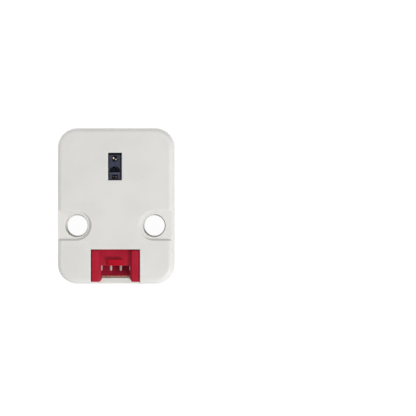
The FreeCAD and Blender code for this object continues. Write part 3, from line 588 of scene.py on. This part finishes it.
# The sensor board: the same laminate, just under the front face, with the optical
# package soldered to its top.
sensor_low, sensor_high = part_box("sensor_board")
dressed("sensor_board", laminate("sensor_board_laminate", sensor_low, sensor_high), "board_laminate")

# The optical package: a dark moulded body with three apertures on a laminate base.
# Its lid is bluish. The step round the lid is painted black, painted shade in the gap
# under the window's edge, and the bar across it paler, a painted highlight.
PACKAGE_COLOUR = (52, 56, 75)
PACKAGE_DARKER = (45, 49, 66)
PACKAGE_GLOSS = 0.25
STEP_SHADE_COLOUR = (12, 11, 16)
STEP_SHADE_GREYER = (18, 16, 22)
STEP_SHADE_GLOSS = 0.1
STEP_DROP = 0.15 * mm
BAR_HIGHLIGHT_COLOUR = (74, 78, 92)
BAR_HIGHLIGHT_DARKER = (66, 70, 84)
BAR_RISE = 0.03 * mm
FILL_SINK = 0.08 * mm
BASE_COLOUR = (17, 17, 20)
BASE_DARKER = (11, 12, 15)

package_low, package_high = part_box("sensor_body")
lid_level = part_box("emitter_window")[1].z + FILL_SINK


def moulded(name, first, second, gloss):
    """The package's moulding compound in one pair of tones."""
    return patched_finish(
        name,
        first,
        second,
        patch=0.6 * mm,
        roughness=0.36,
        gloss=gloss,
        grain=0.08 * mm,
        grain_depth=0.003 * mm,
    )


package = dressed(
    "sensor_body",
    moulded("package_mould_blue", PACKAGE_COLOUR, PACKAGE_DARKER, PACKAGE_GLOSS),
    "package_mould",
    edge_round=0.03 * mm,
)
# Painted shade: the faces below the lid, round its step, get a near-black moulding.
repaint(
    package,
    moulded("package_step_painted_shade", STEP_SHADE_COLOUR, STEP_SHADE_GREYER, STEP_SHADE_GLOSS),
    lambda at: at.z < lid_level - STEP_DROP,
)
# Painted highlight: the raised bar across the lid gets a paler moulding.
repaint(
    package,
    moulded("package_bar_painted_highlight", BAR_HIGHLIGHT_COLOUR, BAR_HIGHLIGHT_DARKER, PACKAGE_GLOSS),
    lambda at: at.z > lid_level + BAR_RISE,
)
base_finish = patched_finish(
    "package_base_laminate",
    BASE_COLOUR,
    BASE_DARKER,
    patch=0.3 * mm,
    roughness=0.5,
    gloss=0.08,
    grain=0.1 * mm,
    grain_depth=0.004 * mm,
)
dressed("sensor_substrate", base_finish, "board_laminate", edge_round=0.02 * mm)

# The dies on the package's base: a red emitter, an infrared emitter, and the detector
# and its converter in bare silicon. Each is sawn from a wafer and glued down.
RED_DIE_COLOUR = (196, 160, 120)
RED_DIE_DARKER = (176, 140, 100)
INFRARED_DIE_COLOUR = (120, 118, 116)
INFRARED_DIE_DARKER = (96, 94, 94)
EMITTER_DIE_PATCH = 0.06 * mm
EMITTER_DIE_ROUGHNESS = 0.3
SILICON_COLOUR = (14, 14, 26)
SILICON_PALER = (24, 24, 38)
DIE_EDGE = 0.015 * mm

for node, name, first, second in (
    ("red_led", "red_emitter_die", RED_DIE_COLOUR, RED_DIE_DARKER),
    ("infrared_led", "infrared_emitter_die", INFRARED_DIE_COLOUR, INFRARED_DIE_DARKER),
):
    die_finish = patched_finish(
        name, first, second, patch=EMITTER_DIE_PATCH, roughness=EMITTER_DIE_ROUGHNESS
    )
    dressed(node, die_finish, "emitter_die", edge_round=DIE_EDGE)
silicon_finish = patched_finish(
    "silicon",
    SILICON_COLOUR,
    SILICON_PALER,
    patch=0.2 * mm,
    roughness=0.2,
    gloss=0.12,
    grain=0.1 * mm,
    grain_depth=0.001 * mm,
)
for node in ("photodiode", "signal_chip"):
    dressed(node, silicon_finish, "silicon_die", edge_round=DIE_EDGE)

# The bonds in the package: small metal pads on its base and its dies, and fine gold
# wires that run from the emitters and the converter down to the base.
COPPER_COLOUR = (190, 158, 150)
COPPER_DARKER = (160, 128, 122)
RUBY_COLOUR = (58, 6, 10)
RUBY_DARKER = (40, 4, 8)
ELECTRODE_COLOUR = (255, 250, 244)
ELECTRODE_DARKER = (244, 240, 236)
BOND_PATCH = 0.1 * mm
PAD_THICKNESS = 0.015 * mm
WIRE_RADIUS = 0.014 * mm
WIRE_RISE = 0.1 * mm

package_x = (package_low.x + package_high.x) / 2
package_y = (package_low.y + package_high.y) / 2
base_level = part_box("sensor_substrate")[1].z
chip_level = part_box("signal_chip")[1].z
led_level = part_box("red_led")[1].z
copper_finish = patched_finish(
    "bare_copper_pad", COPPER_COLOUR, COPPER_DARKER, patch=BOND_PATCH, roughness=0.4, metallic=0.6
)
ruby_finish = patched_finish(
    "dark_red_coat", RUBY_COLOUR, RUBY_DARKER, patch=BOND_PATCH, roughness=0.35, gloss=0.2
)
electrode_finish = patched_finish(
    "aluminium_electrode",
    ELECTRODE_COLOUR,
    ELECTRODE_DARKER,
    patch=BOND_PATCH,
    roughness=0.2,
    metallic=1.0,
)


def in_package(place, level):
    """A point in the package, its place given in millimetres from the package's middle."""
    return (package_x + place[0] * mm, package_y + place[1] * mm, level)


def bond_pad(name, finish, slot_name, place, size, level):
    """A thin metal pad that lies on the package's base or on a die."""
    bpy.ops.mesh.primitive_cube_add(size=1, location=in_package(place, level + PAD_THICKNESS / 2))
    pad = bpy.context.active_object
    pad.name = name
    pad.scale = (size[0] * mm, size[1] * mm, PAD_THICKNESS)
    bpy.ops.object.transform_apply(location=True, rotation=True, scale=True)
    pad.data.materials.append(finish)
    set_on(pad, slot_name)


def bond_wire(name, start_place, start_level, end_place):
    """A fine gold wire that leaves a die upwards and comes down on the package's base."""
    bpy.ops.curve.primitive_bezier_curve_add(location=(0, 0, 0))
    wire = bpy.context.active_object
    wire.name = name
    wire.data.dimensions = "3D"
    wire.data.bevel_depth = WIRE_RADIUS
    wire.data.bevel_resolution = 2
    wire.data.resolution_u = 8
    start, end = wire.data.splines[0].bezier_points
    start.handle_left_type = start.handle_right_type = "FREE"
    end.handle_left_type = end.handle_right_type = "FREE"
    start.co = in_package(start_place, start_level)
    start.handle_left = start.co
    start.handle_right = in_package(start_place, start_level + WIRE_RISE)
    end.co = in_package(end_place, base_level)
    end.handle_left = in_package(end_place, base_level + 2 * WIRE_RISE)
    end.handle_right = end.co
    bpy.ops.object.convert(target="MESH")
    bpy.ops.object.shade_smooth()
    wire = bpy.context.active_object
    wire.data.materials.clear()
    wire.data.materials.append(gold_finish)
    set_on(wire, "gold_plating")


bond_pad("red_electrode", electrode_finish, "gold_plating", (-0.29, 1.72), (0.2, 0.34), led_level)
bond_pad("infrared_electrode", electrode_finish, "gold_plating", (0.19, 1.43), (0.17, 0.19), led_level)
bond_pad("emitter_pad_right", copper_finish, "gold_plating", (0.48, 1.68), (0.2, 0.24), base_level)
bond_pad("emitter_pad_upper", ruby_finish, "board_laminate", (0.14, 1.88), (0.3, 0.2), base_level)
bond_pad("chip_pad_left", gold_finish, "gold_plating", (-0.32, -2.05), (0.16, 0.15), chip_level)
bond_pad("chip_pad_right", gold_finish, "gold_plating", (0.27, -2.1), (0.26, 0.18), chip_level)
bond_wire("emitter_wire_left", (-0.27, 1.7), led_level, (0.1, 1.88))
bond_wire("emitter_wire_right", (0.2, 1.45), led_level, (0.46, 1.68))
bond_wire("chip_wire_left", (-0.32, -2.05), chip_level, (-0.54, -2.12))
bond_wire("chip_wire_right", (0.27, -2.1), chip_level, (0.52, -2.2))

# The fill of the three apertures: resin with its face a little under the lid, clear
# over the emitters and smoked over the detector and the converter.
FILL_COLOUR = (20, 22, 34)
FILL_DARKER = (13, 15, 26)
CLEAR_STRENGTH = 0.06
CLEAR_GLOSS = 0.3
DETECTOR_STRENGTH = 0.3
REFERENCE_STRENGTH = 0.48
SMOKED_GLOSS = 0.16

for node, strength, gloss in (
    ("emitter_window", CLEAR_STRENGTH, CLEAR_GLOSS),
    ("detector_window", DETECTOR_STRENGTH, SMOKED_GLOSS),
    ("reference_window", REFERENCE_STRENGTH, SMOKED_GLOSS),
):
    fill_finish = patched_finish(
        node + "_fill", FILL_COLOUR, FILL_DARKER, patch=0.4 * mm, roughness=0.08, gloss=gloss
    )
    set_number(fill_finish, "Alpha", strength)
    dressed(node, fill_finish, "clear_resin")

# The front half of the case: the same matt plastic, with the window for the package,
# the notch for the socket and two recesses round the bores, their floors painted a
# shade paler, painted light that lifts the shade inside the recesses. It laps over the
# rear half, and the case screw holds it.
RECESS_PAINTED_LIGHT_COLOUR = (226, 225, 221)
RECESS_PAINTED_LIGHT_DARKER = (222, 221, 217)
RECESS_DEPTH = 0.6 * mm
RECESS_SLACK = 0.02 * mm


def on_recess_floor(at):
    """Whether a point lies on the floor of a recess."""
    return abs(at.z - (face_level - RECESS_DEPTH)) < RECESS_SLACK


front_case = dressed("front_cover", case_finish, "case_plastic")
# Painted light: the recess floors get a paler plastic.
repaint(
    front_case,
    case_plastic("case_plastic_recess_painted_light", RECESS_PAINTED_LIGHT_COLOUR, RECESS_PAINTED_LIGHT_DARKER),
    on_recess_floor,
)

# The case screw: bright zinc-plated steel with a hexagon socket, sunk in the
# rear half.
STEEL_COLOUR = (196, 198, 202)
STEEL_DARKER = (172, 174, 180)

steel_finish = patched_finish(
    "zinc_steel", STEEL_COLOUR, STEEL_DARKER, patch=0.6 * mm, roughness=0.3, metallic=1.0
)
add_wear(steel_finish, 0.3 * mm, smooth=0.22, rough=0.42)
dressed("case_screw", steel_finish, "screw_steel", edge_round=0.04 * mm)
